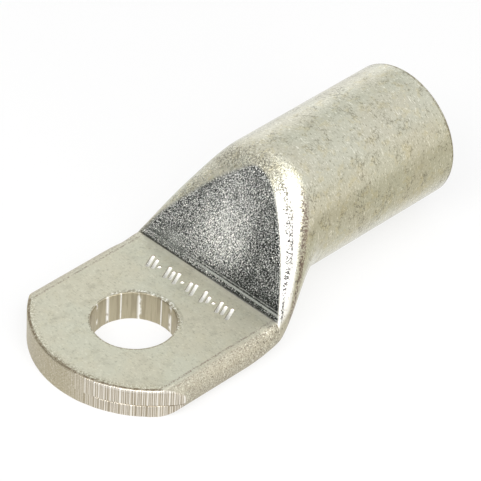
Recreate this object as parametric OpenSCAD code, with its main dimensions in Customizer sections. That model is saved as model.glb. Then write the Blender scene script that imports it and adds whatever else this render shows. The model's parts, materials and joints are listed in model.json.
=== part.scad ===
// Tubular cable lug: a length of tin-plated copper tube, open at one end for the
// conductor and pressed flat at the other end into a palm with one stud hole.
//
// Frame: millimetres, +Z up. The origin is the centre of the stud hole on the
// underside of the palm. +X runs along the barrel towards its mouth.

/* [Barrel] */
// Outer diameter of the tube
barrel_od = 18; // [15:0.5:24]
// Bore that takes the stripped conductor
bore_d = 13.5; // [9:0.25:14.25]
// Length of the straight tube, from the end of the neck to the mouth
barrel_length = 23.2; // [12:0.1:60]
// Height of the tube's underside above the palm's underside
barrel_lift = 0.65; // [0:0.05:2]
// Rounding of the outer edge of the mouth
mouth_round = 0.25; // [0.1:0.05:0.35]
// Chamfer on the inner edge of the mouth
mouth_chamfer = 0.25; // [0.1:0.05:0.35]

/* [Palm] */
// Thickness of the two pressed walls together
palm_thickness = 4.05; // [3:0.05:5]
// Width over the rounded long edges
palm_width = 26.3; // [22:0.1:29]
// Distance from the stud hole's centre to the cut front edge
palm_front = 12.2; // [9:0.1:18]
// Distance from the stud hole's centre to the crease at the foot of the ramp
palm_back = 12.4; // [11:0.1:20]
// Radius of the front edge, seen from above
front_radius = 14.95; // [14.75:0.05:30]
// Rounding that the shear leaves along the top of the front edge
front_roll = 0.2; // [0.05:0.05:0.5]

/* [Stud hole] */
// Diameter of the punched clearance hole for the stud
stud_hole_d = 10.5; // [5.3:0.1:12]
// Rounding that the punch leaves around the top of the hole
hole_roll = 0.15; // [0.05:0.05:0.4]

/* [Neck] */
// Slope of the flat ramp that the press leaves above the palm
ramp_angle = 58.5; // [50:0.5:66]
// Rounding where the ramp breaks over into the shoulders
ramp_edge = 0.3; // [0.1:0.05:0.8]
// Distance from where the ramp would meet the crown to the full round tube
crown_run = 2.25; // [1.5:0.05:6]
// Distance before the crease at which the long edges start to draw in
edge_run_in = 5.9; // [4:0.1:6]
// Distance before the crease at which the shoulders start to rise
shoulder_run_in = 2.7; // [1:0.1:4]

/* [Quality] */
// Segments along each quarter of a neck section
quarter_steps = 14; // [8:1:20]
// Sections along the neck, from the crease to the round tube
neck_steps = 28; // [12:1:36]
// Sections along the cavity inside the neck
cavity_steps = 16; // [8:1:24]
// Segments of each full circle
circle_steps = 96; // [48:8:128]

/* [Hidden] */

wall = (barrel_od - bore_d) / 2;
half_thickness = palm_thickness / 2;
half_width = palm_width / 2;
flat_half = half_width - half_thickness;
axis_z = barrel_lift + barrel_od / 2;
crown_z = barrel_lift + barrel_od;
front_centre = front_radius - palm_front;

// The neck runs from where the edges draw in to where the section is round. The
// ramp's line would meet the crown's line at ramp_corner, a little before that.
ramp_corner = palm_back + (crown_z - palm_thickness) / tan(ramp_angle);
neck_start = palm_back - edge_run_in;
neck_end = ramp_corner + crown_run;
mouth_x = neck_end + barrel_length;

// The two walls meet inside the neck, and leave a slit of this height there.
// The cavity opens from it into the bore.
slit_height = 0.25;
slit_rise = slit_height + wall + wall / cos(ramp_angle) - palm_thickness;
cavity_start = palm_back + slit_rise / tan(ramp_angle);
cavity_lag = wall / 2;
cavity_end = neck_end + cavity_lag;

// How early or late each line of the neck makes its change: under 1 is early
side_delay = 1.5;
middle_delay = 0.75;
shoulder_delay = 0.91;
roof_flat_delay = 1.5;
// Share of the neck over which the flat on the shoulders' top closes
roof_flat_share = 0.79;

// Past its end the neck's skin dips into the tube's, from this much proud of it,
// so that the two meet along one line.
join_run = 0.6;
join_proud = 0.04;
// Least width of a flat in a section, so that no two of its points coincide
least = 0.05;
// Length by which a cut runs past a face
overlap = 0.5;
run_in_steps = 8;
edge_steps = 4;
join_steps = 4;

function clamp01(t) = min(1, max(0, t));
function ease(t) = let (u = clamp01(t)) u * u * (3 - 2 * u);
function blend(from, to, t) = from + (to - from) * ease(t);
function part(x, from, to) = clamp01((x - from) / (to - from));
// Even steps from one value towards another, without the last
function steps(from, to, count) = [
    for (i = [0 : count - 1]) from + (to - from) * i / count
];

// The four lines that shape the neck: its sides, the height at which it is
// widest, its underside and the top of its shoulders, before the ramp is pressed
function side_y(x) =
    blend(half_width, barrel_od / 2, pow(part(x, neck_start, neck_end), side_delay));
function middle_z(x) =
    blend(half_thickness, axis_z, pow(part(x, palm_back, neck_end), middle_delay));
function under_z(x) = blend(0, barrel_lift, part(x, palm_back, neck_end));
function shoulder_z(x) = blend(
    palm_thickness,
    crown_z,
    pow(part(x, palm_back - shoulder_run_in, neck_end), shoulder_delay)
);

// Half widths of the flats on top and underneath
function roof_flat(x) = blend(
    flat_half,
    0,
    pow(clamp01(part(x, neck_start, neck_end) / roof_flat_share), roof_flat_delay)
);
function floor_flat(x) = blend(flat_half, 0, part(x, neck_start, neck_end));

// Height to which the press flattens: the palm, and the ramp behind the crease,
// at a depth below the surface
function press_z(x, depth = 0) =
    x <= palm_back ? palm_thickness - depth
    : palm_thickness + (x - palm_back) * tan(ramp_angle) - depth / cos(ramp_angle);

// How far the skin stands proud of its own line near an end
function proud(x, end) =
    join_proud * (x <= end ? ease(1 - (end - x) / (2 * join_run)) : 1 - (x - end) / join_run);

// Points on an ellipse about a point, from one angle to another
function arc(centre, radii, from, to, count) = [
    for (i = [0 : count])
        let (angle = from + (to - from) * i / count)
        centre + [radii[0] * cos(angle), radii[1] * sin(angle)]
];
function mirrored(points) = [
    for (i = [len(points) - 1 : -1 : 0]) [-points[i][0], points[i][1]]
];

// Upper half of a section on the +Y side, from the widest point to the flat on
// top: an elliptical shoulder, cut off level where the press reaches it, with
// the corner rounded.
function upper(half, middle, roof, flat, press) =
    let (
        inner = min(max(flat, least), half - least),
        radii = [half - inner, roof - middle],
        last = press < roof ? asin((press - middle) / (roof - middle)) : 90,
        corner = [inner + radii[0] * cos(last), min(roof, press)],
        speed = norm([radii[0] * sin(last), radii[1] * cos(last)]),
        back = min(last / 2, ramp_edge / speed * 180 / PI),
        turn = [inner + radii[0] * cos(last - back), middle + radii[1] * sin(last - back)],
        level = [corner[0] - min(ramp_edge, corner[0] - least / 2), corner[1]]
    )
    concat(
        arc([inner, middle], radii, 0, last - back, quarter_steps),
        [
            for (i = [1 : edge_steps])
                let (t = i / edge_steps)
                (1 - t) * (1 - t) * turn + 2 * t * (1 - t) * corner + t * t * level
        ]
    );
// Lower half on the +Y side, from the flat underneath towards the widest point
function lower(half, middle, under, flat) =
    let (inner = min(max(flat, least), half - least))
    [
        for (i = [0 : quarter_steps - 1])
            let (angle = -90 + 90 * i / quarter_steps)
            [inner, middle] + [(half - inner) * cos(angle), (middle - under) * sin(angle)]
    ];
// A whole section at x, anticlockwise as seen from the mouth
function section(x, half, middle, roof, under, flats, press) =
    let (
        right = concat(
            lower(half, middle, under, flats[1]),
            upper(half, middle, roof, flats[0], press)
        )
    )
    [for (p = concat(right, mirrored(right))) [x, p[0], p[1]]];

function neck_section(x) =
    let (out = proud(x, neck_end))
    section(
        x,
        side_y(x) + out,
        middle_z(x),
        shoulder_z(x) + out,
        under_z(x) - out,
        [roof_flat(x), floor_flat(x)],
        x < ramp_corner ? press_z(x) : crown_z + overlap
    );

// The cavity has the neck's form, moved inwards by the wall
function cavity_section(x) =
    let (
        out = proud(x, cavity_end),
        lag = x - cavity_lag,
        press = x < ramp_corner + wall ? press_z(x, wall) : crown_z,
        roof = shoulder_z(lag) - wall + out,
        under = blend(wall, barrel_lift + wall, part(x, cavity_start, cavity_end)) - out,
        middle = (min(press, roof) + under) / 2
    )
    section(
        x,
        side_y(lag) - wall + out,
        middle,
        roof,
        under,
        [roof_flat(lag) - wall, floor_flat(lag) - wall],
        press
    );

// Skin over a row of sections, closed at both ends
module loft(sections) {
    count = len(sections[0]);
    last = len(sections) - 1;
    polyhedron(
        points = [for (ring = sections) each ring],
        faces = concat(
            [[for (i = [0 : count - 1]) i]],
            [[for (i = [count - 1 : -1 : 0]) last * count + i]],
            [
                for (ring = [0 : last - 1], i = [0 : count - 1])
                    let (a = ring * count + i, b = ring * count + (i + 1) % count)
                    each [[a, a + count, b + count], [a, b + count, b]]
            ]
        ),
        convexity = 6
    );
}

// Palm and neck: two flats joined by half-round edges, which change along the
// neck into the round tube
module palm_and_neck() {
    loft([
        for (x = concat(
            [-palm_front - overlap],
            steps(neck_start, palm_back, run_in_steps),
            steps(palm_back, neck_end, neck_steps),
            steps(neck_end, neck_end + 2 * join_run, join_steps),
            [neck_end + 2 * join_run]
        ))
            neck_section(x)
    ]);
}

// Inside of the neck, which narrows from the bore to a slit between the walls
module cavity() {
    loft([
        for (x = concat(
            steps(cavity_start, cavity_end, cavity_steps),
            steps(cavity_end, cavity_end + 2 * join_run, join_steps),
            [cavity_end + 2 * join_run]
        ))
            cavity_section(x)
    ]);
}

// Straight tube, still solid, with the outer edge of the mouth rounded
module tube() {
    radius = barrel_od / 2;
    corner = [radius - mouth_round, barrel_length - mouth_round];
    translate([neck_end, 0, axis_z])
        rotate([0, 90, 0])
        rotate_extrude($fn = circle_steps) {
            square([corner[0], barrel_length]);
            square([radius, corner[1]]);
            translate(corner)
                intersection() {
                    circle(r = mouth_round, $fn = circle_steps);
                    square(mouth_round);
                }
        }
}

// Round bore for the conductor, chamfered at the mouth
module bore() {
    flare = mouth_chamfer + overlap;
    translate([cavity_end, 0, axis_z])
        rotate([0, 90, 0])
        cylinder(d = bore_d, h = mouth_x - cavity_end + overlap, $fn = circle_steps);
    translate([mouth_x - mouth_chamfer, 0, axis_z])
        rotate([0, 90, 0])
        cylinder(d1 = bore_d, d2 = bore_d + 2 * flare, h = flare, $fn = circle_steps);
}

// Punched stud hole with its rolled upper edge
module stud_hole() {
    flare = hole_roll + overlap;
    translate([0, 0, -overlap])
        cylinder(d = stud_hole_d, h = palm_thickness + 2 * overlap, $fn = circle_steps);
    translate([0, 0, palm_thickness - hole_roll])
        cylinder(d1 = stud_hole_d, d2 = stud_hole_d + 2 * flare, h = flare, $fn = circle_steps);
}

// Space that the sheared front edge leaves, with the rolled corner along the top
module outline() {
    roll_z = palm_thickness - front_roll;
    roll_height = front_roll + overlap;
    translate([front_centre, 0, 0]) {
        translate([0, 0, -overlap])
            cylinder(r = front_radius, h = roll_z + overlap, $fn = circle_steps);
        translate([0, 0, roll_z])
            cylinder(
                r1 = front_radius,
                r2 = front_radius - roll_height,
                h = roll_height,
                $fn = circle_steps
            );
        translate([0, -front_radius, -overlap])
            cube([
                mouth_x + overlap - front_centre,
                2 * front_radius,
                crown_z + 2 * overlap
            ]);
    }
}

module cable_lug() {
    color([0.78, 0.77, 0.70])
        difference() {
            intersection() {
                union() {
                    palm_and_neck();
                    tube();
                }
                outline();
            }
            bore();
            cavity();
            stud_hole();
        }
}

cable_lug();
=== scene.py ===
# %% [markdown]
# # A tin-plated copper cable lug
#
# The real part is one length of copper tube. One end stays round and takes a
# stripped conductor. A press flattens the other end into a palm, a punch makes
# the stud hole, and a shear trims the front. This lesson makes it in the same
# order: a loft for the pressed tube, then cutters for what punch and shear
# take away. The solid model of the part comes in first, as a fixed frame.

# %% Load the frame
import json
import math

import bmesh
import bpy
import numpy as np
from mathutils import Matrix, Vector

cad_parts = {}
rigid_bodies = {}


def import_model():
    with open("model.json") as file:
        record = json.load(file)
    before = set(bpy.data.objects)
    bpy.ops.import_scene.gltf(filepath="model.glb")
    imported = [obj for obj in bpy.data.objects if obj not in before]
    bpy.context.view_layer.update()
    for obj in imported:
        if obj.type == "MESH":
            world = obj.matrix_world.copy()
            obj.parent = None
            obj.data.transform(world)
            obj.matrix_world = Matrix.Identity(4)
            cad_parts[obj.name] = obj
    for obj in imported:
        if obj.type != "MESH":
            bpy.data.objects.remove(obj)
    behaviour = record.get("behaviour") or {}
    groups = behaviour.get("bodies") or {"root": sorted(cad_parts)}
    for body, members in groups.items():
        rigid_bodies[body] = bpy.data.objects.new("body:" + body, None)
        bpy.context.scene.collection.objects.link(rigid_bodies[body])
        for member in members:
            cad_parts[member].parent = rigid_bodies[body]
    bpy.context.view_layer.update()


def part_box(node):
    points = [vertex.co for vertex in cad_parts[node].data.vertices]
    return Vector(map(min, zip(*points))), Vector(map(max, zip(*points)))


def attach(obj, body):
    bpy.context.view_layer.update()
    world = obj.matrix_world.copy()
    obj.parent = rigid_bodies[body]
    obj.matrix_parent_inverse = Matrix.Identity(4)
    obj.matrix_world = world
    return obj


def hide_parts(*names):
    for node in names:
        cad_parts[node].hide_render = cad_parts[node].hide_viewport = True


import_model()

MM = 0.001

# %% [markdown]
# ## Sizes
#
# The sizes are those of the solid model, in millimetres. The ones that its box
# gives are read from the box, so the two can't drift apart. The origin is the
# centre of the stud hole on the underside, and +X runs towards the mouth.

# %% Sizes of the lug
low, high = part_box("cable_lug")
MOUTH_X = high[0] / MM
HALF_WIDTH = high[1] / MM
PALM_FRONT = -low[0] / MM

BARREL_OD, BORE_D, BARREL_LIFT = 18.0, 13.5, 0.65
MOUTH_ROUND, MOUTH_CHAMFER = 0.25, 0.25
PALM_THICKNESS, PALM_BACK = 4.05, 12.4
FRONT_RADIUS, FRONT_ROLL = 14.95, 0.2
STUD_HOLE_D, HOLE_ROLL = 10.5, 0.15
RAMP_ANGLE, RAMP_EDGE = math.radians(58.5), 0.55
CROWN_RUN, EDGE_RUN_IN, SHOULDER_RUN_IN = 2.25, 5.9, 2.7

WALL = (BARREL_OD - BORE_D) / 2
RADIUS = BARREL_OD / 2
HALF_THICKNESS = PALM_THICKNESS / 2
FLAT_HALF = HALF_WIDTH - HALF_THICKNESS
AXIS_Z = BARREL_LIFT + RADIUS
CROWN_Z = BARREL_LIFT + BARREL_OD
FRONT_CENTRE = FRONT_RADIUS - PALM_FRONT
RAMP_CORNER = PALM_BACK + (CROWN_Z - PALM_THICKNESS) / math.tan(RAMP_ANGLE)
NECK_START = PALM_BACK - EDGE_RUN_IN
NECK_END = RAMP_CORNER + CROWN_RUN
print("neck from", round(NECK_START, 2), "to", round(NECK_END, 2), "mouth", round(MOUTH_X, 2))

# %% [markdown]
# ## The lines of the neck
#
# A pressed tube changes from a flat palm to a round barrel over a short neck.
# Four lines describe it: the sides draw in, the widest point climbs, the
# underside lifts a little and the shoulders rise. Each is an ease curve with a
# delay, which makes it early or late. The press then cuts the shoulders off at
# a plane, and that plane is the ramp.

# %% Functions for the lines of the neck
def ease(t):
    u = min(1.0, max(0.0, t))
    return u * u * (3 - 2 * u)


def blend(start, end, t):
    return start + (end - start) * ease(t)


def part(x, start, end):
    return min(1.0, max(0.0, (x - start) / (end - start)))


def side_y(x):
    return blend(HALF_WIDTH, RADIUS, part(x, NECK_START, NECK_END) ** 1.5)


def middle_z(x):
    return blend(HALF_THICKNESS, AXIS_Z, part(x, PALM_BACK, NECK_END) ** 0.75)


def under_z(x):
    return blend(0, BARREL_LIFT, part(x, PALM_BACK, NECK_END))


def shoulder_z(x):
    rise = part(x, PALM_BACK - SHOULDER_RUN_IN, NECK_END)
    return blend(PALM_THICKNESS, CROWN_Z, rise**0.91)


def roof_flat(x):
    closing = min(1.0, part(x, NECK_START, NECK_END) / 0.79)
    return blend(FLAT_HALF, 0, closing**1.5)


def floor_flat(x):
    return blend(FLAT_HALF, 0, part(x, NECK_START, NECK_END))


def press_z(x, depth=0.0):
    if x <= PALM_BACK:
        return PALM_THICKNESS - depth
    rise = (x - PALM_BACK) * math.tan(RAMP_ANGLE)
    return PALM_THICKNESS + rise - depth / math.cos(RAMP_ANGLE)


print("half width of the neck at its middle:", round(side_y((NECK_START + NECK_END) / 2), 2))

# %% [markdown]
# ## The foot of the ramp
#
# The corner of the press leaves a groove along the crease, and above it a
# narrow smooth step with a fine line on each side. They are waves of a few
# hundredths of a millimetre across the ramp, so they are added to the press
# plane as small humps and hollows at their own distance from the crease.

# %% Lines above the crease
CREASE_LINES = [
    # distance up the ramp, half width, height, all in mm
    (0.14, 0.13, -0.07),
    (0.80, 0.16, 0.05),
    (1.06, 0.07, -0.045),
    (1.22, 0.06, 0.03),
    (1.38, 0.07, -0.035),
]


def crease_lines(x):
    along = (x - PALM_BACK) / math.cos(RAMP_ANGLE)
    return sum(high * math.exp(-(((along - at) / wide) ** 2)) for at, wide, high in CREASE_LINES)


print("crease lines, mm above or below the ramp:", [high for _, _, high in CREASE_LINES])

# %% [markdown]
# ## One section of the tube
#
# A section is drawn as half an outline: along the flat underneath, up a quarter
# ellipse to the widest point, up another one, over the edge that the press
# leaves, and in along the top. Each stretch gets a fixed number of points at
# even steps. So the same point of every section lies on the same edge, and the
# ramp's rim comes out as one clean line instead of a saw.

# %% Half a section, evenly stepped
FINE = 1.0
COUNTS = {
    "below": round(44 * FINE),
    "shoulder": round(40 * FINE),
    "edge": 9,
    "top": round(26 * FINE),
}


def even(points, count):
    """count points at even steps along a line of points, without its last."""
    points = np.asarray(points, float)
    run = np.concatenate([[0], np.cumsum(np.linalg.norm(np.diff(points, axis=0), axis=1))])
    at = np.linspace(0, run[-1], count, endpoint=False)
    return np.stack([np.interp(at, run, points[:, k]) for k in range(2)], axis=1)


def quarter(centre, across, up, start, end, steps=60):
    angle = np.radians(np.linspace(start, end, steps + 1))
    return np.stack([centre[0] + across * np.cos(angle), centre[1] + up * np.sin(angle)], axis=1)


def half_section(half, middle, roof, under, top_flat, bottom_flat, press, edge_width=0.3):
    """Points from the middle of the underside to just before the middle of the top."""
    top_flat = min(max(top_flat, 0.0), half - 0.02)
    bottom_flat = min(max(bottom_flat, 0.0), half - 0.02)
    across, up = half - top_flat, roof - middle
    cut = press < roof
    last = math.degrees(math.asin((press - middle) / up)) if cut else 90.0
    split = min(last, 78.0)
    speed = math.hypot(across * math.sin(math.radians(split)), up * math.cos(math.radians(split)))
    back = min(split / 2, math.degrees(edge_width / speed))
    lower = quarter((bottom_flat, middle), half - bottom_flat, middle - under, -90, 0)
    below = np.vstack([[0, under], lower])
    shoulder = quarter((top_flat, middle), across, up, 0, split - back)
    turn = shoulder[-1]
    if last <= split:
        corner = quarter((top_flat, middle), across, up, 0, last)[-1]
        level = corner - [min(edge_width, corner[0] / 2), 0]
        t = np.linspace(0, 1, 13)[:, None]
        edge = (1 - t) ** 2 * turn + 2 * t * (1 - t) * corner + t**2 * level
        top = np.array([level, [0, corner[1]]])
    else:
        edge = quarter((top_flat, middle), across, up, split - back, split)
        rest = quarter((top_flat, middle), across, up, split, last)
        top = np.vstack([rest, [0, min(press, roof)]])
    return np.vstack([
        even(below, COUNTS["below"]),
        even(shoulder, COUNTS["shoulder"]),
        even(edge, COUNTS["edge"]),
        even(top, COUNTS["top"]),
        [[0, top[-1][1]]],
    ])


def ring(x, half, other=None):
    """The whole closed section at x, in 3-D, from its +Y half and the other half mirrored."""
    other = half if other is None else other
    both = np.vstack([half, other[-2:0:-1] * [-1, 1]])
    return np.column_stack([np.full(len(both), x), both])


# The ramp's +Y edge is worn: it is this much rounder, all in mm
WORN_EXTRA, WORN_FROM, WORN_FADE_IN, WORN_FADE_OUT = 1.3, 1.5, 3, 2


def body_ring(x, inset=0.0):
    press = press_z(x) if x < RAMP_CORNER else CROWN_Z + 1
    if x > PALM_BACK:
        press += crease_lines(x) / math.cos(RAMP_ANGLE)
    fade_in = ease((x - PALM_BACK - WORN_FROM) / WORN_FADE_IN)
    worn = RAMP_EDGE + WORN_EXTRA * fade_in * ease((RAMP_CORNER - x) / WORN_FADE_OUT)
    lines = (
        side_y(x) - inset, middle_z(x), shoulder_z(x) - inset, under_z(x) + inset,
        roof_flat(x), floor_flat(x), press,
    )
    return ring(x, half_section(*lines, worn), half_section(*lines, RAMP_EDGE))


print("points in a section:", len(body_ring(0.0)))

# %% [markdown]
# ## Lofting the pressed tube
#
# A loft joins section after section with four-sided faces, and closes the two
# ends. The sections stand close together where the shape turns quickly, at the
# crease and at the mouth, and further apart on the plain barrel.

# %% Loft helper and the body
def new_piece(name, points, faces):
    mesh = bpy.data.meshes.new(name)
    mesh.from_pydata([tuple(p) for p in np.asarray(points) * MM], [], faces)
    mesh.update()
    piece = bpy.data.objects.new(name, mesh)
    bpy.context.scene.collection.objects.link(piece)
    return piece


def loft_data(rings):
    """Points and faces of a closed skin over rings of the same number of points."""
    count = len(rings[0])
    last = (len(rings) - 1) * count
    faces = [list(reversed(range(count))), [last + i for i in range(count)]]
    for r in range(len(rings) - 1):
        for i in range(count):
            a, b = r * count + i, r * count + (i + 1) % count
            faces.append([a, b, b + count, a + count])
    return np.vstack(rings), faces


def loft(name, rings):
    return new_piece(name, *loft_data(rings))


def spaced(start, end, step):
    return list(np.linspace(start, end, max(1, round((end - start) / step * FINE)), endpoint=False))


stations = (
    [-PALM_FRONT - 1.0, 0.0]
    + spaced(NECK_START, PALM_BACK, 0.3)
    + spaced(PALM_BACK, PALM_BACK + 0.85, 0.025)
    + spaced(PALM_BACK + 0.85, NECK_END, 0.16)
    + spaced(NECK_END, MOUTH_X - MOUTH_ROUND, 1.0)
)
rings = [body_ring(x) for x in stations]
for angle in np.radians(np.linspace(0, 90, 7)):
    rings.append(body_ring(
        MOUTH_X - MOUTH_ROUND * (1 - math.sin(angle)),
        MOUTH_ROUND * (1 - math.cos(angle)),
    ))
lug = loft("lug_body", rings)
print("body:", len(rings), "sections,", len(lug.data.vertices), "points")

# %% [markdown]
# ## Cutters for the inside, the punch and the shear
#
# Each cutter is a closed solid with the form of what is taken away. The fine
# marks of the tools belong to the cutters: the shear leaves upright scratches
# on the front face, the punch leaves streaks on the wall of the hole. A Boolean
# modifier hands them over to the lug, so the marks are real geometry and show
# from every side. The random numbers have a fixed seed, so that each run gives
# the same marks.

# %% Cutter for the cavity and the bore
SLIT_HEIGHT = 0.25
slit_rise = SLIT_HEIGHT + WALL + WALL / math.cos(RAMP_ANGLE) - PALM_THICKNESS
CAVITY_START = PALM_BACK + slit_rise / math.tan(RAMP_ANGLE)
CAVITY_END = NECK_END + WALL / 2


def cavity_ring(x, flare=0.0):
    lag = x - WALL / 2
    roof = shoulder_z(lag) - WALL + flare
    press = press_z(x, WALL) if x < RAMP_CORNER + WALL else CROWN_Z
    under = blend(WALL, BARREL_LIFT + WALL, part(x, CAVITY_START, CAVITY_END)) - flare
    middle = (min(press, roof) + under) / 2
    return ring(x, half_section(
        side_y(lag) - WALL + flare, middle, roof, under,
        roof_flat(lag) - WALL, floor_flat(lag) - WALL, press,
    ))


cavity_rings = [cavity_ring(x) for x in spaced(CAVITY_START, CAVITY_END, 0.35)]
cavity_rings += [cavity_ring(x) for x in spaced(CAVITY_END, MOUTH_X - MOUTH_CHAMFER, 2.0)]
cavity_rings += [
    cavity_ring(MOUTH_X - MOUTH_CHAMFER + out, out) for out in (0.0, 0.125, 0.25, 0.75)
]
cavity = loft("cutter_cavity", cavity_rings)
print("bore", BORE_D, "mm, open for", round(MOUTH_X - CAVITY_END, 1), "mm")

# %% Cutter for the punched stud hole
draw = np.random.default_rng(7)


def streaks(count, width):
    """A closed row of smooth random numbers, about -1 to 1."""
    row = draw.normal(size=count)
    kernel = np.exp(-0.5 * (np.arange(-3 * width, 3 * width + 1) / width) ** 2)
    padded = np.concatenate([row, row, row])
    smooth = np.convolve(padded, kernel, mode="same")[count : 2 * count]
    return smooth / smooth.std() / 2


HOLE_COLUMNS = round(360 * FINE)
hole_angle = np.linspace(0, 2 * np.pi, HOLE_COLUMNS, endpoint=False)
hole_marks = 0.018 * streaks(HOLE_COLUMNS, 2) + 0.012 * streaks(HOLE_COLUMNS, 6)


def hole_ring(z, out=0.0, marks=1.0):
    r = STUD_HOLE_D / 2 + out + marks * hole_marks
    level = np.full(HOLE_COLUMNS, z)
    return np.column_stack([r * np.cos(hole_angle), r * np.sin(hole_angle), level])


hole_rings = [hole_ring(-1.0), hole_ring(0.0), hole_ring(1.2), hole_ring(2.6)]
hole_rings += [hole_ring(PALM_THICKNESS - HOLE_ROLL - 0.2)]
for angle in np.radians(np.linspace(0, 80, 6)):
    hole_rings.append(hole_ring(
        PALM_THICKNESS - HOLE_ROLL * (1 - math.sin(angle)),
        HOLE_ROLL * (1 - math.cos(angle)),
        math.cos(angle),
    ))
hole_rings.append(hole_ring(PALM_THICKNESS + 0.6, HOLE_ROLL + 0.3, 0.0))
punch = loft("cutter_punch", hole_rings)
print("stud hole", STUD_HOLE_D, "mm,", HOLE_COLUMNS, "columns")

# %% [markdown]
# ## The sheared front
#
# The shear drags upright teeth down the front face, about four to a
# millimetre, and they grow stronger from left to right. Where the two walls of
# the flattened tube meet, the face shows a thin seam. The teeth are a sine
# wave with a slow wobble: the same sum shapes the cutter here and colours the
# finish later, so grooves and shades fall together.

# %% Teeth of the shear
SEAM_Z, TOOTH_PITCH = 1.65, 0.27
WOBBLES = [(1.9, 61.0, 0.0), (1.3, 143.0, 2.0), (1.1, 29.0, 4.0)]  # strength, rate, start
SHEAR_COLUMNS = round(620 * FINE)
shear_angle = np.radians(np.linspace(100, 260, SHEAR_COLUMNS))
front_turn = np.pi - shear_angle
tooth_phase = front_turn * (FRONT_RADIUS * math.tau / TOOTH_PITCH)
for amount, rate, start in WOBBLES:
    tooth_phase = tooth_phase + amount * np.sin(front_turn * rate + start)
print("teeth across the front:", round(float(np.ptp(tooth_phase)) / math.tau))

# %% Cutter for the sheared front edge


def shear_depth(z):
    """How deep each scratch is at height z, in mm: positive cuts into the metal."""
    upper = 0.025 * np.sin(tooth_phase) + 0.012 * upper_marks + 0.015 * wide_marks
    lower = 0.025 * np.sin(tooth_phase + 2) + 0.018 * lower_marks + 0.015 * wide_marks
    t = ease((z - SEAM_Z + 0.1) / 0.2)
    return strength * (upper * t + lower * (1 - t))


upper_marks, lower_marks = streaks(SHEAR_COLUMNS, 1), streaks(SHEAR_COLUMNS, 1)
wide_marks = streaks(SHEAR_COLUMNS, 5)
strength = np.array([0.08 + 0.92 * ease((math.degrees(a) - 179) / 24) for a in shear_angle])
seam = np.array([
    ease((math.degrees(a) - 196) / 6) * ease((238 - math.degrees(a)) / 6) for a in shear_angle
])
edge_wave = 0.05 * streaks(SHEAR_COLUMNS, 9)
SEAM_DEPTH, SEAM_HALF, SHEAR_INSET, SHEAR_REACH = 0.09, 0.06, 0.06, 22  # mm


def shear_ring(z, roll=0.0, lip=0.0):
    groove = SEAM_DEPTH * np.exp(-(((z - SEAM_Z - edge_wave) / SEAM_HALF) ** 2)) * seam
    r = (
        FRONT_RADIUS - SHEAR_INSET - shear_depth(z) - groove
        - roll * (1 + 2 * edge_wave) + lip * strength * (1 + 4 * edge_wave)
    )
    inner = np.column_stack([FRONT_CENTRE + r * np.cos(shear_angle), r * np.sin(shear_angle)])
    far = shear_angle[::-8]
    outer = np.column_stack([
        FRONT_CENTRE + SHEAR_REACH * np.cos(far), SHEAR_REACH * np.sin(far)
    ])
    outline = np.vstack([inner[::-1], outer[::-1]])
    return np.column_stack([outline, np.full(len(outline), z)])


shear_rings = [shear_ring(-1.0), shear_ring(-0.1)]
shear_rings += [shear_ring(z) for z in np.linspace(0.1, SEAM_Z - 0.25, 4)]
shear_rings += [shear_ring(z) for z in np.linspace(SEAM_Z - 0.18, SEAM_Z + 0.18, 10)]
shear_rings += [shear_ring(z) for z in np.linspace(SEAM_Z + 0.3, PALM_THICKNESS - 0.62, 6)]
shear_rings += [shear_ring(PALM_THICKNESS - 0.5), shear_ring(PALM_THICKNESS - 0.42, lip=0.05)]
for angle in np.radians(np.linspace(0, 80, 6)):
    shear_rings.append(shear_ring(
        PALM_THICKNESS - FRONT_ROLL * (1 - math.sin(angle)),
        roll=FRONT_ROLL * (1 - math.cos(angle)),
        lip=0.06 * math.cos(angle),
    ))
shear_rings.append(shear_ring(PALM_THICKNESS + 1.0, roll=FRONT_ROLL + 0.4))
shear = loft("cutter_shear", shear_rings)
print("front edge of radius", FRONT_RADIUS, "mm,", SHEAR_COLUMNS, "columns")

# %% [markdown]
# ## Marks between the hole and the crease
#
# Such lugs carry a stamped row here. This one has a plain row of slanted
# strokes and dots, which says nothing. Each is a capsule that sinks into the
# palm, so its walls are round and catch the light as a stamped groove does.

# %% Cutter for the stamped row
MARK_RADIUS, MARK_RING = 0.30, 14
MARKS = [
    # place along the row, length, lean in degrees, all from the middle of the palm
    (6.9, 1.9, 24), (6.1, 1.5, 24), (5.3, 0.0, 0), (3.9, 1.9, 24), (3.1, 1.3, 24),
    (2.3, 1.9, 24), (1.3, 0.0, 0), (0.1, 1.5, 24), (-0.7, 1.9, 24), (-2.4, 1.9, 24),
    (-3.2, 0.9, 24), (-4.1, 0.0, 0), (-5.1, 1.9, 24), (-5.9, 1.4, 24), (-6.9, 1.9, 24),
]
ROW_X = 9.45
MARK_CENTRE_UP = 0.02  # mm above the palm, so that each stroke is 0.28 mm deep


def capsule(y, length, lean):
    """Rings of one round-ended stroke that lies in the palm's top face."""
    lean = math.radians(lean)
    along = np.array([math.cos(lean), math.sin(lean), 0.0])
    across = np.array([-math.sin(lean), math.cos(lean), 0.0])
    turn = np.linspace(0, 2 * np.pi, MARK_RING, endpoint=False)
    rings = []
    for end, angles in ((-1, (-80, -50, -20)), (1, (20, 50, 80))):
        for degrees in angles:
            at = end * length / 2 + MARK_RADIUS * math.sin(math.radians(degrees))
            r = MARK_RADIUS * math.cos(math.radians(degrees))
            centre = np.array([ROW_X, y, PALM_THICKNESS + MARK_CENTRE_UP]) + along * at
            circle = np.outer(np.cos(turn), across) + np.outer(np.sin(turn), [0, 0, 1])
            rings.append(centre + r * circle)
    return rings


points, faces = [], []
for mark in MARKS:
    mark_points, mark_faces = loft_data(capsule(*mark))
    faces += [[i + len(points) for i in face] for face in mark_faces]
    points += [tuple(p) for p in mark_points]
stamp = new_piece("cutter_stamp", points, faces)
print("stamped row:", len(MARKS), "strokes and dots")

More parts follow.
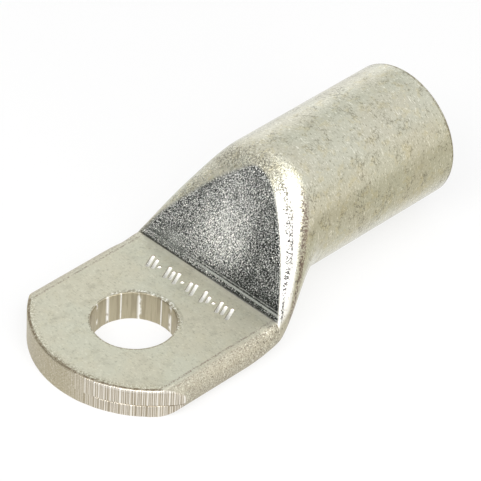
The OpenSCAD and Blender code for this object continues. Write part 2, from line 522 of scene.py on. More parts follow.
# %% [markdown]
# ## Cutting, as the tools did
#
# Now each cutter is taken away from the pressed tube with a Boolean modifier,
# in the order in which the shop works. The exact solver is used because the
# cutters share long edges with the tube. The result is kept as a plain mesh.
# Faces without area, which the cuts leave behind, are dissolved, and faces of
# many corners become triangles. Weighted normals then keep the flats flat.

# %% Take the cutters away
SLIVER = 0.0005 * MM
SHARP_ANGLE, FLATS_WEIGHT = math.radians(38), 80
for cutter in (cavity, punch, shear, stamp):
    cut = lug.modifiers.new(cutter.name, "BOOLEAN")
    cut.operation = "DIFFERENCE"
    cut.solver = "EXACT"
    cut.object = cutter
bpy.context.view_layer.update()
graph = bpy.context.evaluated_depsgraph_get()
final = bpy.data.meshes.new_from_object(lug.evaluated_get(graph))
lug.modifiers.clear()
lug.data = final
for cutter in (cavity, punch, shear, stamp):
    bpy.data.objects.remove(cutter)
tidy = bmesh.new()
tidy.from_mesh(lug.data)
bmesh.ops.dissolve_degenerate(tidy, dist=SLIVER, edges=tidy.edges)
bmesh.ops.triangulate(tidy, faces=[face for face in tidy.faces if len(face.verts) > 4])
slivers = [face for face in tidy.faces if face.calc_area() < SLIVER * SLIVER]
open_edges = [edge for edge in tidy.edges if not edge.is_manifold]
tidy.to_mesh(lug.data)
tidy.free()
print("slivers left:", len(slivers), "open edges:", len(open_edges))
for face in lug.data.polygons:
    face.use_smooth = True
lug.data.set_sharp_from_angle(angle=SHARP_ANGLE)
soft = lug.modifiers.new("weighted_normals", "WEIGHTED_NORMAL")
soft.keep_sharp = True
soft.weight = FLATS_WEIGHT
triangles = sum(len(face.vertices) - 2 for face in lug.data.polygons)
print("lug:", len(lug.data.polygons), "faces,", triangles, "triangles")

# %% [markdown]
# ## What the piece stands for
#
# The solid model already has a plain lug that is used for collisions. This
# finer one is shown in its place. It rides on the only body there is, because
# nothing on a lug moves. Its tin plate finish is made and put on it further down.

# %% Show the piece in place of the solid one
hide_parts("cable_lug")
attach(lug, "root")
print(lug.name, "stands for the solid cable_lug")

# %% [markdown]
# ## Sums on shader sockets
#
# A finish is a chain of nodes, and most of it is arithmetic on masks. Writing
# each Math node by hand hides the idea. So a small class wraps a socket and
# gives it +, -, * and abs, and each operator adds the Math node for it. Colours
# go through Mix nodes, and every other node comes from one method.

# %% A value that adds nodes as it is used
class Value:
    """One output socket that can stand in a sum, such as 1 - mask * 0.5."""

    def __init__(self, nodes, socket):
        self.nodes, self.socket = nodes, socket

    def math(self, operation, first, second=0.0):
        return self.nodes.node("ShaderNodeMath", {"operation": operation}, {0: first, 1: second})

    def __add__(self, other):
        return self.math("ADD", self, other)

    def __sub__(self, other):
        return self.math("SUBTRACT", self, other)

    def __rsub__(self, other):
        return self.math("SUBTRACT", other, self)

    def __mul__(self, other):
        return self.math("MULTIPLY", self, other)

    def __abs__(self):
        return self.math("ABSOLUTE", self)

    __radd__, __rmul__ = __add__, __mul__

    def sine(self):
        return self.math("SINE", self)

    def turn_from(self, other):
        """The angle whose tangent is this value over the other one."""
        return self.math("ARCTAN2", self, other)


print("a value knows +, -, *, abs, sine and turn_from")

# %% Nodes of one material or world
class Nodes:
    """A node tree, and the few ways in which this lesson adds nodes to it."""

    def __init__(self, tree):
        self.tree = tree

    def node(self, kind, settings=None, inputs=None, output=0):
        """Adds one node: its settings first, then the values or links of its sockets."""
        node = self.tree.nodes.new(kind)
        for key, setting in (settings or {}).items():
            setattr(node, key, setting)
        for key, value in (inputs or {}).items():
            self.feed(node.inputs[key], value)
        return Value(self, node.outputs[output])

    def feed(self, socket, value):
        if isinstance(value, Value):
            self.tree.links.new(value.socket, socket)
        else:
            socket.default_value = value

    def smooth(self, value, start, end):
        """0 below start, 1 above end, and a soft step between."""
        return self.node(
            "ShaderNodeMapRange",
            {"interpolation_type": "SMOOTHSTEP"},
            {"Value": value, "From Min": start, "From Max": end},
        )

    def band(self, value, start, end, soft):
        """1 between start and end, with soft edges that lie inside them."""
        return self.smooth(value, start, start + soft) * (1 - self.smooth(value, end - soft, end))

    def combine(self, x, y, z):
        return self.node("ShaderNodeCombineXYZ", {}, {0: x, 1: y, 2: z})

    def separate(self, vector):
        return [self.node("ShaderNodeSeparateXYZ", {}, {0: vector}, output=k) for k in range(3)]

    def length(self, x, y, z):
        place = self.combine(x, y, z)
        return self.node(
            "ShaderNodeVectorMath", {"operation": "LENGTH"}, {0: place}, output="Value"
        )

    def noise(self, place, scale, detail=2.0, roughness=0.5, stretch=None):
        if stretch:
            place = self.node(
                "ShaderNodeVectorMath", {"operation": "MULTIPLY"}, {0: place, 1: stretch}
            )
        return self.node(
            "ShaderNodeTexNoise", {},
            {"Vector": place, "Scale": scale, "Detail": detail, "Roughness": roughness},
        )

    def mix(self, amount, first, second):
        return self.node(
            "ShaderNodeMix", {"data_type": "RGBA"}, {0: amount, 6: first, 7: second}, output=2
        )


def new_finish(name):
    """A material, its nodes and the shader that ends them."""
    material = bpy.data.materials.new(name)
    material.use_nodes = True
    return material, Nodes(material.node_tree), material.node_tree.nodes["Principled BSDF"]


print("helpers for a finish:", [name for name in vars(Nodes) if not name.startswith("_")])

# %% [markdown]
# ## Where is what on the lug
#
# Tin plate is a pale, slightly warm metal, but it looks different wherever a
# tool has touched it: smooth on the palm, finely pitted on the drawn barrel,
# coarse and dark on the ramp where the press has bitten, scratched on the
# sheared front. On the real part these run into each other, so one material
# holds them all. Masks between 0 and 1 say which is where. They are worked out
# from the place on the lug in millimetres, with the numbers that made its shape.

# %% The place, in millimetres
tin_plate, tin, tin_surface = new_finish("tin_plate")
place = tin.node("ShaderNodeTexCoord", output="Object")
mm = tin.node("ShaderNodeVectorMath", {"operation": "SCALE"}, {0: place, "Scale": 1 / MM})
x, y, z = tin.separate(mm)
print("the finish starts with", len(tin.tree.nodes), "nodes")

# %% Masks for the ramp and the shoulders beside it
slope = math.tan(RAMP_ANGLE)
below_ramp = ((x - PALM_BACK) * slope + PALM_THICKNESS - z) * math.cos(RAMP_ANGLE)
up_ramp = (x - PALM_BACK) * (1 / math.cos(RAMP_ANGLE))
past_crease = tin.smooth(x, PALM_BACK - 0.02, PALM_BACK + 0.06)
worn_line = 12.0 - up_ramp * 0.27 - up_ramp * up_ramp * 0.030
worn_side = 1 - tin.smooth(y - worn_line, -0.9, 0.7)
ramp = (1 - tin.smooth(below_ramp, 0.02, 0.20)) * past_crease * worn_side
ramp_side = (1 - tin.smooth(below_ramp, 0.4, 3.0)) * past_crease
drawn = tin.smooth(x, PALM_BACK - 1, PALM_BACK + 5)
print("ramp length, mm:", round((RAMP_CORNER - PALM_BACK) / math.cos(RAMP_ANGLE), 1))

# %% Masks for the front, the hole and the mouth
from_front = tin.length(x - FRONT_CENTRE, y, 0.0)
front_turned = y.turn_from(FRONT_CENTRE - x)
near_front = 1 - tin.smooth(x, FRONT_CENTRE - 0.5, FRONT_CENTRE)
sheared = tin.smooth(from_front, FRONT_RADIUS - 0.32, FRONT_RADIUS - 0.2) * near_front
scratched = 1 - tin.smooth(front_turned, -0.45, 0.0)

from_hole = tin.length(x, y, 0.0)
hole_turned = y.turn_from(x)
punched = 1 - tin.smooth(from_hole, STUD_HOLE_D / 2 + 0.06, STUD_HOLE_D / 2 + 0.14)

from_axis = tin.length(0.0, y, z - AXIS_Z)
inside = (
    (1 - tin.smooth(from_axis, BORE_D / 2 + 0.05, BORE_D / 2 + 0.3))
    * tin.smooth(x, CAVITY_START, CAVITY_START + 1)
)
mouth_edge = tin.band(x, MOUTH_X - 0.48, MOUTH_X - 0.02, 0.08)
mouth_face = tin.smooth(x, MOUTH_X - 0.03, MOUTH_X - 0.01)
on_top = tin.smooth(z, PALM_THICKNESS - 0.05, PALM_THICKNESS - 0.01) * (1 - past_crease)
rolled = tin.smooth(abs(y), FLAT_HALF + 0.25, FLAT_HALF + 0.9) * (1 - past_crease)
print("with its masks:", len(tin.tree.nodes), "nodes")

# %% [markdown]
# ## Noises at the right size
#
# Wear and grain only look real at their real size. A noise of scale 1 has
# spots about a millimetre apart here, because it reads millimetres. The broad
# ones tint the plate, the fine ones give pits and grain. Some are squeezed
# along the barrel, because drawing the tube leaves its marks around it.

# %% Noises from broad to fine
AROUND = (1.0, 0.5, 0.5)
broad = tin.noise(mm, 0.16, 3, 0.55)
blotch = tin.noise(mm, 0.55, 3, 0.6)
stain = tin.noise(mm, 0.85, 3, 0.65)
patches = tin.smooth(tin.noise(mm, 0.42, 2, 0.6), 0.51, 0.60)
crackle = 1 - tin.smooth(abs(tin.noise(mm, 2.1, 3, 0.6, AROUND) - 0.5), 0.0, 0.045)
peel = tin.noise(mm, 3.2, 4, 0.7, AROUND)
speck = tin.noise(mm, 5.2, 2, 0.6, AROUND)
bruise = tin.noise(mm, 2.2, 3, 0.7)
chips = tin.noise(mm, 4.2, 2, 0.65)
flecks = tin.noise(mm, 5.6, 3, 0.7)
grain = tin.noise(mm, 7.0, 2, 0.7, (0.85, 1.6, 0.85))
hairs = tin.smooth(tin.noise(mm, 2.3, 1, 0.5, (3.0, 0.55, 0.55)), 0.66, 0.72)
pits = tin.smooth(speck, 0.60, 0.68)
glints = 1 - tin.smooth(speck, 0.33, 0.40)
print("fine grain, mm:", round(1 / 7.2, 2))

# %% [markdown]
# ## The plate itself
#
# Two near tints drift into each other over the whole lug. Over them lie straw
# stains, dull blotches, a net of crackle in some places, dark pits and bright
# points. All are weak on the smooth palm and stronger on the drawn barrel.

# %% Colour of the plate
PALE = (0.606, 0.602, 0.494, 1)
WARM = (0.608, 0.588, 0.474, 1)
STRAW = (0.620, 0.575, 0.400, 1)
DULL = (0.200, 0.185, 0.130, 1)
BRIGHT = (1.0, 0.98, 0.86, 1)

colour = tin.mix(tin.smooth(broad, 0.38, 0.62), PALE, WARM)
colour = tin.mix(tin.smooth(stain, 0.50, 0.66) * (0.15 + 0.45 * drawn), colour, STRAW)
for mark, on_palm, more_on_barrel, tone in (
    (tin.smooth(blotch, 0.5, 0.8), 0.24, -0.02, DULL),
    (crackle * patches, 0.18, 0.57, DULL),
    (pits, 0.34, 0.24, DULL),
    (glints, 0.19, 0.23, BRIGHT),
    (hairs * (1 - patches), 0.0, 0.65, BRIGHT),
):
    colour = tin.mix(mark * (on_palm + more_on_barrel * drawn), colour, tone)
print("tints of the plate:", PALE[:3], WARM[:3], STRAW[:3])

# %% [markdown]
# ## The ramp
#
# The press has a coarse face. It bites into the plate, so the ramp is a fine
# grain of near black pits and bright crests. The dark tones are partly a painted
# dark reflection, and the bright crests are painted highlights. A painted pool of
# light makes the ramp lighter in its middle left, and painted shade darkens its foot
# and both of its sides. Above the crease run the narrow lines whose relief the
# loft already has, with painted shade in their hollows and painted light on their
# humps.

# %% Grain of the ramp, with painted light and shade
BITTEN_AND_SHADED = (0.150, 0.158, 0.145, 1)
DEEP_SHADE = (0.012, 0.015, 0.014, 1)
GLINT = (0.95, 0.95, 0.90, 1)
GREY = (0.50, 0.52, 0.48, 1)

# Painted light: a soft pool that makes the middle left of the ramp lighter.
lit = 1 - tin.smooth(tin.length((up_ramp - 5.3) * 0.125, (y - 0.6) * 0.19, 0.0), 0.15, 1.15)
# Painted shade: darker along the foot by the crease, and a little darker towards the left side.
foot = (1 - tin.smooth(up_ramp, 1.5, 4.5)) * (1 - tin.smooth(y, 1.0, 5.0))
level = (
    grain + lit * 0.061 - foot * 0.036 - tin.smooth(y, 3.0, 7.0) * 0.012
    + (blotch - 0.5) * 0.08 - 0.041
)
# Painted shade: darker towards the right side of the ramp.
level = level - (1 - tin.smooth(y, -6.0, -2.0)) * 0.022
# Painted dark reflection and painted highlights: near black pits and bright crests of the grain.
ramp_grain_and_shading = tin.mix(tin.smooth(level, 0.43, 0.475), DEEP_SHADE, BITTEN_AND_SHADED)
ramp_grain_and_shading = tin.mix(tin.smooth(level, 0.51, 0.55), ramp_grain_and_shading, GLINT)
smooth_patch = 1 - tin.smooth(tin.length((up_ramp - 1.6) * 0.5, (y - 7.2) * 0.3, 0.0), 0.2, 1.0)
ramp_grain_and_shading = tin.mix(smooth_patch * 0.25, ramp_grain_and_shading, GREY)
print("shades of the grain:", DEEP_SHADE[:3], BITTEN_AND_SHADED[:3], GLINT[:3])

# %% Painted light and shade of the lines above the crease
CREASE_LIGHT_AND_SHADE = [
    # from and to, mm up the ramp, strength on the right, share of it left on the left, painted tone
    # (dark in a hollow, grey on a hump)
    (-0.10, 0.32, 0.85, 1.0, DEEP_SHADE),
    (0.62, 1.00, 0.75, 0.2, GREY),
    (1.00, 1.16, 0.80, 0.2, DEEP_SHADE),
    (1.14, 1.31, 0.70, 0.2, GREY),
    (1.30, 1.48, 0.70, 0.2, DEEP_SHADE),
]
# Painted shade in the hollows of the crease lines and painted light on their humps, stronger on the
# right.
for start, end, amount, left_over, shade in CREASE_LIGHT_AND_SHADE:
    fading = 1 - tin.smooth(y, -1.0, 6.0) * (1 - left_over)
    ramp_grain_and_shading = tin.mix(tin.band(up_ramp, start, end, 0.08) * fading * amount, ramp_grain_and_shading, shade)
colour = tin.mix(ramp, colour, ramp_grain_and_shading)
print("lines above the crease:", len(CREASE_LIGHT_AND_SHADE))

# %% [markdown]
# ## The pressed edge beside the ramp
#
# The metal that the press pushes aside rolls over into the round shoulder. It
# is burnished, and its colour is painted near white as a painted highlight, so it
# mirrors the softboxes as two bright strips without strong lamps. Between them a
# band of painted shade darkens the plate. There and along their outer side the
# plate is chipped, down to the darker metal. The chips are a little larger than
# the grain, or the light beside them would hide them. Past the top of the ramp
# the crown is bruised in the same way, but weakly.

# %% Chips, painted highlight and painted shade along the pressed edge
UMBER = (0.022, 0.018, 0.016, 1)
TAN = (0.480, 0.430, 0.330, 1)
WHITE = (1.0, 0.99, 0.95, 1)
GAP_SHADE = (0.070, 0.062, 0.048, 1)
ROSE = (0.240, 0.175, 0.145, 1)

beside_ramp = past_crease * (1 - tin.smooth(y, -0.5, 1.5))
broken = below_ramp + (chips - 0.5) * 1.0
below_top = 1 - tin.smooth(up_ramp, 14.5, 17.0)
below_neck = 1 - tin.smooth(up_ramp, 17.0, 19.5)
upper = tin.smooth(up_ramp, 4.0, 9.0) * below_top
foot_of_strip = tin.smooth(up_ramp, -0.5, 5.0)
# Painted highlight: the burnished strip is painted near white, so the mirrored softboxes clip
# white.
burnish_and_highlight = (
    (1 - tin.smooth(below_ramp - foot_of_strip * 1.15, 0.1, 0.55))
    * beside_ramp * (1 - ramp) * below_neck
)
burnish_and_highlight = burnish_and_highlight * (1 - tin.smooth(y, -5.5, -3.0) * tin.smooth(up_ramp, 8.0, 11.0))
beside_strip = (
    beside_ramp * (1 - ramp) * tin.smooth(y * -1, 5.0, 8.0)
    * (1 - tin.smooth(up_ramp, 3.0, 9.0))
)
colour = tin.mix(beside_strip * (0.35 + 0.45 * tin.smooth(flecks, 0.46, 0.56)), colour, TAN)
colour = tin.mix(burnish_and_highlight * 0.9, colour, WHITE)
gap_start = 0.26 + upper * 0.16
gap_shade_and_chips = (
    tin.band(broken, gap_start, gap_start + 0.40 + upper * 0.36, 0.14)
    * beside_ramp * (0.35 + 0.65 * below_top) * tin.smooth(up_ramp, 0.8, 1.8)
)
lobe_edge = tin.band(broken, 1.55, 2.35, 0.25) * beside_ramp * below_neck
rim = tin.band(broken, 1.72, 2.75, 0.25) * beside_ramp * below_neck
# Painted shade: a dark band between the two bright strips, with chips in it.
colour = tin.mix(gap_shade_and_chips * (0.10 + 0.40 * upper), colour, GAP_SHADE)
colour = tin.mix(gap_shade_and_chips * tin.smooth(chips + (1 - upper) * 0.10, 0.50, 0.56) * 0.9, colour, UMBER)
colour = tin.mix(rim * (0.05 + 0.9 * tin.smooth(flecks + chips, 0.96, 1.02)), colour, ROSE)
colour = tin.mix(lobe_edge * tin.smooth(chips, 0.60, 0.64), colour, UMBER)
colour = tin.mix(ramp_side * tin.smooth(chips, 0.64, 0.68) * 0.9, colour, UMBER)
print("chips, mm:", round(1 / 4.2, 2))

# %% Bruised crown above the ramp
CROWN_FROM, CROWN_TO = 12.0, 19.0  # mm up the ramp
crown = (
    past_crease * tin.band(up_ramp, CROWN_FROM, CROWN_TO, 2.5)
    * (1 - tin.smooth(below_ramp, 0.8, 2.6)) * (1 - ramp)
)
colour = tin.mix(crown * tin.smooth(chips, 0.48, 0.56) * 0.6, colour, DULL)
colour = tin.mix(crown * (1 - tin.smooth(flecks, 0.36, 0.43)) * 0.4, colour, BRIGHT)
print("crown starts at, mm up the ramp:", CROWN_FROM)

# %% [markdown]
# ## The rolled side of the palm
#
# The long sides of the palm are half round, as a flattened tube's are. Handling
# has rubbed them browner than the flat top, and a broken line of dark points
# follows the place where the press let go of them.

# %% Colour of the rolled side
GOLD = (0.330, 0.290, 0.180, 1)
colour = tin.mix(rolled * 0.5, colour, TAN)
# Darker and more golden towards the bottom of the rolled side.
colour = tin.mix(rolled * (1 - tin.smooth(z, 0.6, 2.8)) * 0.50, colour, GOLD)
near_corner = tin.smooth(x, PALM_BACK - 7, PALM_BACK - 1)
colour = tin.mix(rolled * tin.smooth(flecks, 0.50, 0.62) * 0.5, colour, ROSE)
colour = tin.mix(rolled * tin.smooth(chips, 0.56, 0.64) * (0.35 + near_corner * 0.4), colour, UMBER)
bright_flecks = 1 - tin.smooth(flecks, 0.36, 0.44)
colour = tin.mix(rolled * bright_flecks * (0.45 + near_corner * 0.4), colour, BRIGHT)
side_line = (1 - tin.smooth(abs(abs(y) - FLAT_HALF - 0.15), 0.05, 0.22)) * (1 - past_crease)
colour = tin.mix(side_line * tin.smooth(flecks, 0.47, 0.54) * 0.7, colour, ROSE)
by_crease = tin.smooth(x, PALM_BACK - 0.9, PALM_BACK - 0.5) * on_top
colour = tin.mix(by_crease * 0.18, colour, BRIGHT)
print("flat top ends at, mm from the middle:", round(FLAT_HALF, 2))

# %% [markdown]
# ## The sheared front
#
# A cut face has no smooth plate: it is browner, and its teeth alternate between
# shade and shine. They are the sine that cut the grooves, so paint and shape
# agree. The left of the face is plain and mottled. Below the seam the teeth
# shift a little, because that is the other wall of the tube.

# %% Teeth and seam of the front
SHORN = (0.560, 0.500, 0.400, 1)
BROWN = (0.500, 0.450, 0.325, 1)
SHADE = (0.22, 0.18, 0.12, 1)

below_seam = 1 - tin.smooth(z, SEAM_Z - 0.1, SEAM_Z + 0.1)
phase = front_turned * (FRONT_RADIUS * math.tau / TOOTH_PITCH) + below_seam * 2
for amount, rate, start in WOBBLES:
    phase = phase + (front_turned * rate + start).sine() * amount
front_place = tin.combine(front_turned * FRONT_RADIUS, below_seam * 9, z * 0.05)
uneven = tin.noise(front_place, 5.5, 1, 0.5)
teeth = phase.sine() * (0.6 + uneven * 0.6) + (uneven - 0.5) * 1.0
shorn = tin.mix(scratched, BROWN, SHORN)
shorn = tin.mix((1 - scratched) * tin.smooth(flecks, 0.52, 0.62) * 0.5, shorn, SHADE)
shorn = tin.mix((1 - scratched) * (1 - tin.smooth(flecks, 0.34, 0.42)) * 0.5, shorn, WHITE)
shorn = tin.mix(tin.smooth(teeth, 0.1, 0.9) * (0.04 + 0.5 * scratched), shorn, SHADE)
shorn = tin.mix((1 - tin.smooth(teeth, -0.9, -0.2)) * (0.02 + 0.58 * scratched), shorn, WHITE)

seam_wave = tin.noise(front_place, 0.5, 1, 0.5) * 0.3
seam_line = 1 - tin.smooth(abs(z - SEAM_Z + 0.15 - seam_wave), 0.02, 0.07)
seam_line = seam_line * (1 - tin.smooth(front_turned, -0.45, -0.30))
shorn = tin.mix(seam_line * 0.8, shorn, SHADE)
# Painted highlight: a pale strip along the burr at the top of the face, on its right part.
burr_highlight = tin.smooth(z, PALM_THICKNESS - 0.50, PALM_THICKNESS - 0.40)
shorn = tin.mix(burr_highlight * (1 - tin.smooth(front_turned, -0.5, -0.25)) * 0.2, shorn, WHITE)
colour = tin.mix(sheared, colour, shorn)
print("teeth are", TOOTH_PITCH, "mm apart")

# %% [markdown]
# ## The hole and the edges of the palm
#
# The punch burnishes a few upright stripes on the wall of the hole, and leaves
# the rest brown. Its exit roughens the rim. The front rim of the palm carries a
# thin dark line of painted shade where its edge rolls over, a wider dark band in
# the middle, and a band of golden and bright flecks behind them.

# %% Wall and rim of the hole
BURNISHED = [(104, 3.0), (83, 4.0), (63, 1.6), (38, 4.5), (6, 1.8), (-12, 5.0), (-52, 3.0)]
wall_place = tin.combine(hole_turned * (STUD_HOLE_D / 2), 0.0, z * 0.06)
burnished = 0.0
for degrees, width in BURNISHED:
    aside = abs(hole_turned - math.radians(degrees))
    burnished = burnished + (1 - tin.smooth(aside, 0.0, math.radians(width)))
ragged = tin.noise(wall_place, 1.6, 2, 0.5) + tin.noise(mm, 0.9, 2, 0.5)
wall = tin.mix(tin.smooth(tin.noise(wall_place, 3.0, 3, 0.6), 0.42, 0.62) * 0.35, BROWN, SHADE)
wall = tin.mix(burnished * tin.smooth(ragged, 0.86, 1.06), wall, WHITE)
colour = tin.mix(punched, colour, wall)

rough_turn = 1 - tin.smooth(abs(hole_turned - 0.15), 1.0, 1.4)
beside_hole = (
    (1 - tin.smooth(from_hole, STUD_HOLE_D / 2 + 0.45, STUD_HOLE_D / 2 + 0.8))
    * on_top * rough_turn
)
colour = tin.mix(beside_hole * tin.smooth(bruise, 0.52, 0.60) * 0.6, colour, SHADE)
colour = tin.mix(beside_hole * (1 - tin.smooth(bruise, 0.38, 0.45)) * 0.8, colour, WHITE)
hole_line = 1 - tin.smooth(abs(from_hole - STUD_HOLE_D / 2 - 0.20), 0.03, 0.10)
colour = tin.mix(hole_line * on_top * tin.smooth(bruise, 0.40, 0.52) * 0.7, colour, SHADE)
print("burnished stripes:", len(BURNISHED))

# %% Front rim of the palm
# Painted shade: a thin dark line on the rolled front edge.
front_line = tin.smooth(from_front, FRONT_RADIUS - 0.50, FRONT_RADIUS - 0.40) * near_front * on_top
FLECKED_BAND = 1.5
front_band = tin.smooth(from_front, FRONT_RADIUS - FLECKED_BAND, FRONT_RADIUS - 0.6)
front_band = front_band * near_front * on_top
colour = tin.mix(front_band * tin.smooth(flecks, 0.50, 0.58) * 0.55, colour, GOLD)
colour = tin.mix(front_band * (1 - tin.smooth(flecks, 0.38, 0.46)) * 0.5, colour, BRIGHT)
colour = tin.mix(front_line * (0.5 + 0.5 * tin.smooth(bruise, 0.42, 0.56)), colour, SHADE)
# A wider dark band in the middle of the rim, broken up by noise.
rim_dark_band = tin.smooth(from_front, FRONT_RADIUS - 1.0, FRONT_RADIUS - 0.6) * near_front * on_top
rim_dark_band = rim_dark_band * (1 - tin.smooth(abs(front_turned + 0.15), 0.15, 0.5))
colour = tin.mix(rim_dark_band * tin.smooth(bruise, 0.46, 0.58) * 0.7, colour, SHADE)
print("flecked band, mm wide:", FLECKED_BAND)

# %% [markdown]
# ## Stamped row and mouth
#
# The floor of each stroke is painted white, a painted highlight, and its wall
# is painted dark, painted shade. The mouth has a dark line of painted shade where
# the round edge turns away, and the sawn face of the tube shows the rings of a
# turning tool.

# %% Painted light and shade of the stamped row
in_row = tin.band(x, ROW_X - 1.5, ROW_X + 1.5, 0.1) * (1 - tin.smooth(abs(y), 7.8, 8.0))
sunk = (PALM_THICKNESS - z) * in_row
outside_hole = (STUD_HOLE_D / 2 + 0.3, STUD_HOLE_D / 2 + 0.4)
stamped = tin.band(sunk, 0.01, 0.55, 0.02) * tin.smooth(from_hole, *outside_hole)
# Painted highlight on the floor of each stroke and painted shade on its wall.
colour = tin.mix(stamped, colour, tin.mix(tin.smooth(sunk, 0.07, 0.16), SHADE, WHITE))
print("stamped row at x, mm:", ROW_X)

# %% Colour of the mouth
# Painted shade: a dark line where the round edge of the mouth turns away.
colour = tin.mix(mouth_edge * (0.2 + 0.6 * tin.smooth(bruise, 0.42, 0.60)), colour, SHADE)
turned_rings = tin.noise(tin.combine(from_axis, 0.0, 0.0), 4.5, 2, 0.6)
colour = tin.mix(mouth_face * tin.smooth(turned_rings, 0.45, 0.60) * 0.45, colour, TAN)
tin.feed(tin_surface.inputs["Base Color"], colour)
print("nodes for the colour:", len(tin.tree.nodes))

# %% [markdown]
# ## Relief and gloss
#
# The big shapes are in the mesh. What is finer than its faces comes from one
# Bump node. Its height is in millimetres, so its distance is set to one
# millimetre. The palm is duller than the burnished barrel, because the press
# left it slightly matt, and the bore is duller still.

# %% Relief
height = peel * (0.004 + 0.03 * drawn) * (1 - ramp)
height = height - crackle * patches * drawn * 0.006
height = height + grain * (ramp * 0.09 + ramp_side * 0.045)
height = height + bruise * (front_band + beside_hole) * 0.08
height = height + flecks * (ramp_side * 0.05 + rolled * 0.035)
height = height + turned_rings * mouth_face * 0.02
normal = tin.node("ShaderNodeBump", {}, {"Strength": 1.0, "Distance": MM, "Height": height})
tin.feed(tin_surface.inputs["Normal"], normal)
print("nodes with the relief:", len(tin.tree.nodes))

# %% Gloss
tin.feed(tin_surface.inputs["Roughness"], 0.17 + 0.1 * broad + 0.25 * (1 - drawn) + 0.15 * inside)
tin_surface.inputs["Metallic"].default_value = 1.0
lug.data.materials.clear()
lug.data.materials.append(tin_plate)
print("the tin finish has", len(tin.tree.nodes), "nodes")

# %% [markdown]
# ## The camera
#
# A product shot of such a small part is taken with a long lens from the front
# left and above, so that the sides stay nearly parallel. The camera is placed
# by its direction and distance, not by hand: three axes make its turn, and the
# distance along its line of sight makes its place.

# %% Camera
from mathutils import Matrix, Vector

azimuth, elevation, roll = math.radians(42.86), math.radians(38.43), math.radians(3.32)
distance, focal, frame_width = 464.49, 3746.3, 481
target = Vector((20.602, 2.361, 4.0)) * MM
forward = Vector((
    math.cos(azimuth) * math.cos(elevation),
    math.sin(azimuth) * math.cos(elevation),
    -math.sin(elevation),
))
level_axis = forward.cross(Vector((0, 0, 1))).normalized()
upright = level_axis.cross(forward)
right = level_axis * math.cos(roll) + upright * math.sin(roll)
above = upright * math.cos(roll) - level_axis * math.sin(roll)

camera_data = bpy.data.cameras.new("camera")
camera_data.sensor_width = 36
camera_data.lens = 36 * focal / frame_width
camera_data.clip_start, camera_data.clip_end = 0.01, 10
camera = bpy.data.objects.new("camera", camera_data)
pose = Matrix((right, above, -forward)).transposed().to_4x4()
pose.translation = target - forward * distance * MM
camera.matrix_world = pose
bpy.context.scene.collection.objects.link(camera)
bpy.context.scene.camera = camera
print("lens, mm:", round(camera_data.lens), "at, m:", [round(v, 3) for v in pose.translation])

# %% [markdown]
# ## White world and paper floor
#
# Metal shows what stands around it, so the surroundings matter as much as the
# finish. Here the world is plain white. The floor is white paper that still
# catches the lug's shadow: for the camera, for mirrored rays and for rays that
# pass through glass it mixes in a steady white glow, so that it comes out white
# without more light on the lug.

# %% World and floor
SEEN = ("Is Camera Ray", "Is Glossy Ray", "Is Transmission Ray")
DIM_LIGHT = 0.55  # strength of the world for rays that only light things
PAPER_GLOW = 0.74  # share of steady white in the paper, for rays that see it
FLOOR_Z = -0.00002  # just under the palm, so that the two faces don't share a plane


def seen_rays(nodes):
    """1 for the rays that show a background, 0 for those that only light things."""
    total = 0.0
    for ray in SEEN:
        total = total + nodes.node("ShaderNodeLightPath", output=ray)
    return nodes.node("ShaderNodeMath", {"operation": "MINIMUM"}, {0: total, 1: 1.0})


world = bpy.data.worlds.new("studio")
bpy.context.scene.world = world
world.use_nodes = True
room = Nodes(world.node_tree)
backdrop = world.node_tree.nodes["Background"]
backdrop.inputs["Color"].default_value = (1, 1, 1, 1)
room.feed(backdrop.inputs["Strength"], DIM_LIGHT + 0.45 * seen_rays(room))

bpy.ops.mesh.primitive_plane_add(size=6.0, location=(0, 0, FLOOR_Z))
floor = bpy.context.active_object
floor.name = "floor"
white_paper, paper, paper_surface = new_finish("white_paper")
paper_surface.inputs["Base Color"].default_value = (0.93, 0.93, 0.93, 1)
paper_surface.inputs["Roughness"].default_value = 0.9
glow = paper.node("ShaderNodeEmission", {}, {"Color": (1, 1, 1, 1), "Strength": 1.0})
papered = paper.node(
    "ShaderNodeMixShader", {},
    {0: seen_rays(paper) * PAPER_GLOW, 1: Value(paper, paper_surface.outputs[0]), 2: glow},
)
paper.feed(white_paper.node_tree.nodes["Material Output"].inputs["Surface"], papered)
floor.data.materials.append(white_paper)
print("floor of", floor.dimensions.x, "m, seen by", len(SEEN), "kinds of ray")

# %% [markdown]
# ## Two softboxes
#
# One softbox stands at the side, tall and narrow. It draws the outer bright
# strip down the shoulder. The other hangs in front and gives the strip on the
# pressed edge. Where they stand follows from the mirror law: the shoulder's
# normal and the line of sight give the direction in which a lamp must be.

# %% Lamps
LUG_MIDDLE, LAMP_AWAY = Vector((0.018, 0, 0.01)), 0.45  # m


def soft_lamp(name, direction, size, radiance):
    """A rectangular softbox that looks at the lug. Radiance 1 equals the world's."""
    wide, tall = size
    data = bpy.data.lights.new(name, "AREA")
    data.shape, data.size, data.size_y = "RECTANGLE", wide, tall
    data.energy = radiance * math.pi * wide * tall
    lamp = bpy.data.objects.new(name, data)
    bpy.context.scene.collection.objects.link(lamp)
    towards = Vector(direction).normalized()
    lamp.location = LUG_MIDDLE + towards * LAMP_AWAY
    lamp.rotation_euler = towards.to_track_quat("Z", "Y").to_euler()
    lamp.visible_camera = False
    return lamp


side_softbox = soft_lamp("side_softbox", (-0.17, -0.75, 0.65), (0.09, 0.66), 4.6)
front_softbox = soft_lamp("front_softbox", (-0.58, -0.33, 0.72), (0.44, 0.20), 4.3)
print("lamp power, W:", round(side_softbox.data.energy, 2), round(front_softbox.data.energy, 2))

# %% [markdown]
# ## Cards that shape the reflections
#
# A metal part between white walls looks flat. Photographers set up cards: a
# black one gives the ramp its dark tone, faint grey ones round off the barrel,
# and a bright reflector behind draws the light strip along its top. Each card
# here fades to white at its edges, so it leaves no border in the metal, and
# only mirrored rays see it.

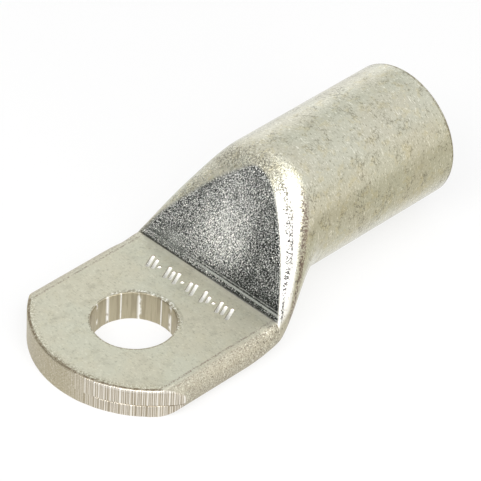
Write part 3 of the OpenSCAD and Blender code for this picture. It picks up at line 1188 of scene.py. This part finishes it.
# %% Helpers for cards
def card(name, corners, tone, fade):
    """A flat card with its tone in the middle. It fades in from left, right, foot and top."""
    data = bpy.data.meshes.new(name)
    data.from_pydata([Vector(c) for c in corners], [], [[0, 1, 2, 3]])
    across_card = data.uv_layers.new(name="across")
    for loop, spot in zip(across_card.data, ((0, 0), (1, 0), (1, 1), (0, 1))):
        loop.uv = spot
    piece = bpy.data.objects.new(name, data)
    bpy.context.scene.collection.objects.link(piece)
    cloth, weave, surface = new_finish(name + "_cloth")
    u, v, _ = weave.separate(weave.node("ShaderNodeTexCoord", output="UV"))
    at_left, at_right, at_foot, at_top = fade
    middle = weave.smooth(u, -0.01, at_left) * (1 - weave.smooth(u, 1 - at_right, 1.01))
    middle = middle * weave.smooth(v, -0.01, at_foot) * (1 - weave.smooth(v, 1 - at_top, 1.01))
    surface.inputs["Base Color"].default_value = (0, 0, 0, 1)
    surface.inputs["Specular IOR Level"].default_value = 0.0
    surface.inputs["Emission Strength"].default_value = 1.0
    weave.feed(surface.inputs["Emission Color"], weave.mix(middle, (1, 1, 1, 1), tone))
    data.materials.append(cloth)
    piece.visible_camera = piece.visible_diffuse = piece.visible_shadow = False


def standing_card(name, azimuth, away, wide, tall, tone, fade):
    towards = Vector((math.cos(math.radians(azimuth)), math.sin(math.radians(azimuth)), 0))
    across = Vector((towards.y, -towards.x, 0)) * wide / 2
    foot_line = Vector((LUG_MIDDLE.x, 0, 0)) + towards * away
    left, right_end, rise = foot_line - across, foot_line + across, Vector((0, 0, tall))
    card(name, [left, right_end, right_end + rise, left + rise], tone, fade)


def lying_card(name, x_range, y_range, up, tone, fade):
    (x0, x1), (y0, y1) = x_range, y_range
    card(name, [(x0, y0, up), (x1, y0, up), (x1, y1, up), (x0, y1, up)], tone, fade)


print("cards stand or lie around, m:", [round(v, 3) for v in LUG_MIDDLE])

# %% The cards
standing_card("black_flag", 146, 0.25, 0.26, 0.16, (0.02, 0.02, 0.02, 1), (0.0, 0.0, 0.0, 0.02))
standing_card("grey_flag", -46, 0.25, 0.50, 0.24, (0.97, 0.94, 0.87, 1), (0.4, 0.4, 0.0, 0.8))
standing_card("bright_reflector", 52, 0.25, 0.34, 0.12, (1.22, 1.23, 1.25, 1), (0.3, 0.3, 0.0, 0.5))
standing_card("grey_veil", 43, 0.26, 0.30, 0.34, (0.85, 0.87, 0.85, 1), (0.4, 0.4, 0.7, 0.3))
lying_card(
    "grey_table", (0.00, 0.26), (-0.20, -0.008), 0.0004,
    (0.75, 0.72, 0.62, 1), (0.2, 0.2, 0.0, 0.025),
)
lying_card(
    "grey_scrim", (0.18, 0.46), (-0.10, 0.22), 0.4,
    (0.90, 0.90, 0.88, 1), (0.45, 0.45, 0.45, 0.45),
)
kinds = ("black", "grey", "bright")
cards = [piece.name for piece in bpy.context.scene.objects if piece.name.startswith(kinds)]
print("cards:", cards)

# %% Finish
bpy.context.scene.view_settings.view_transform = "Standard"
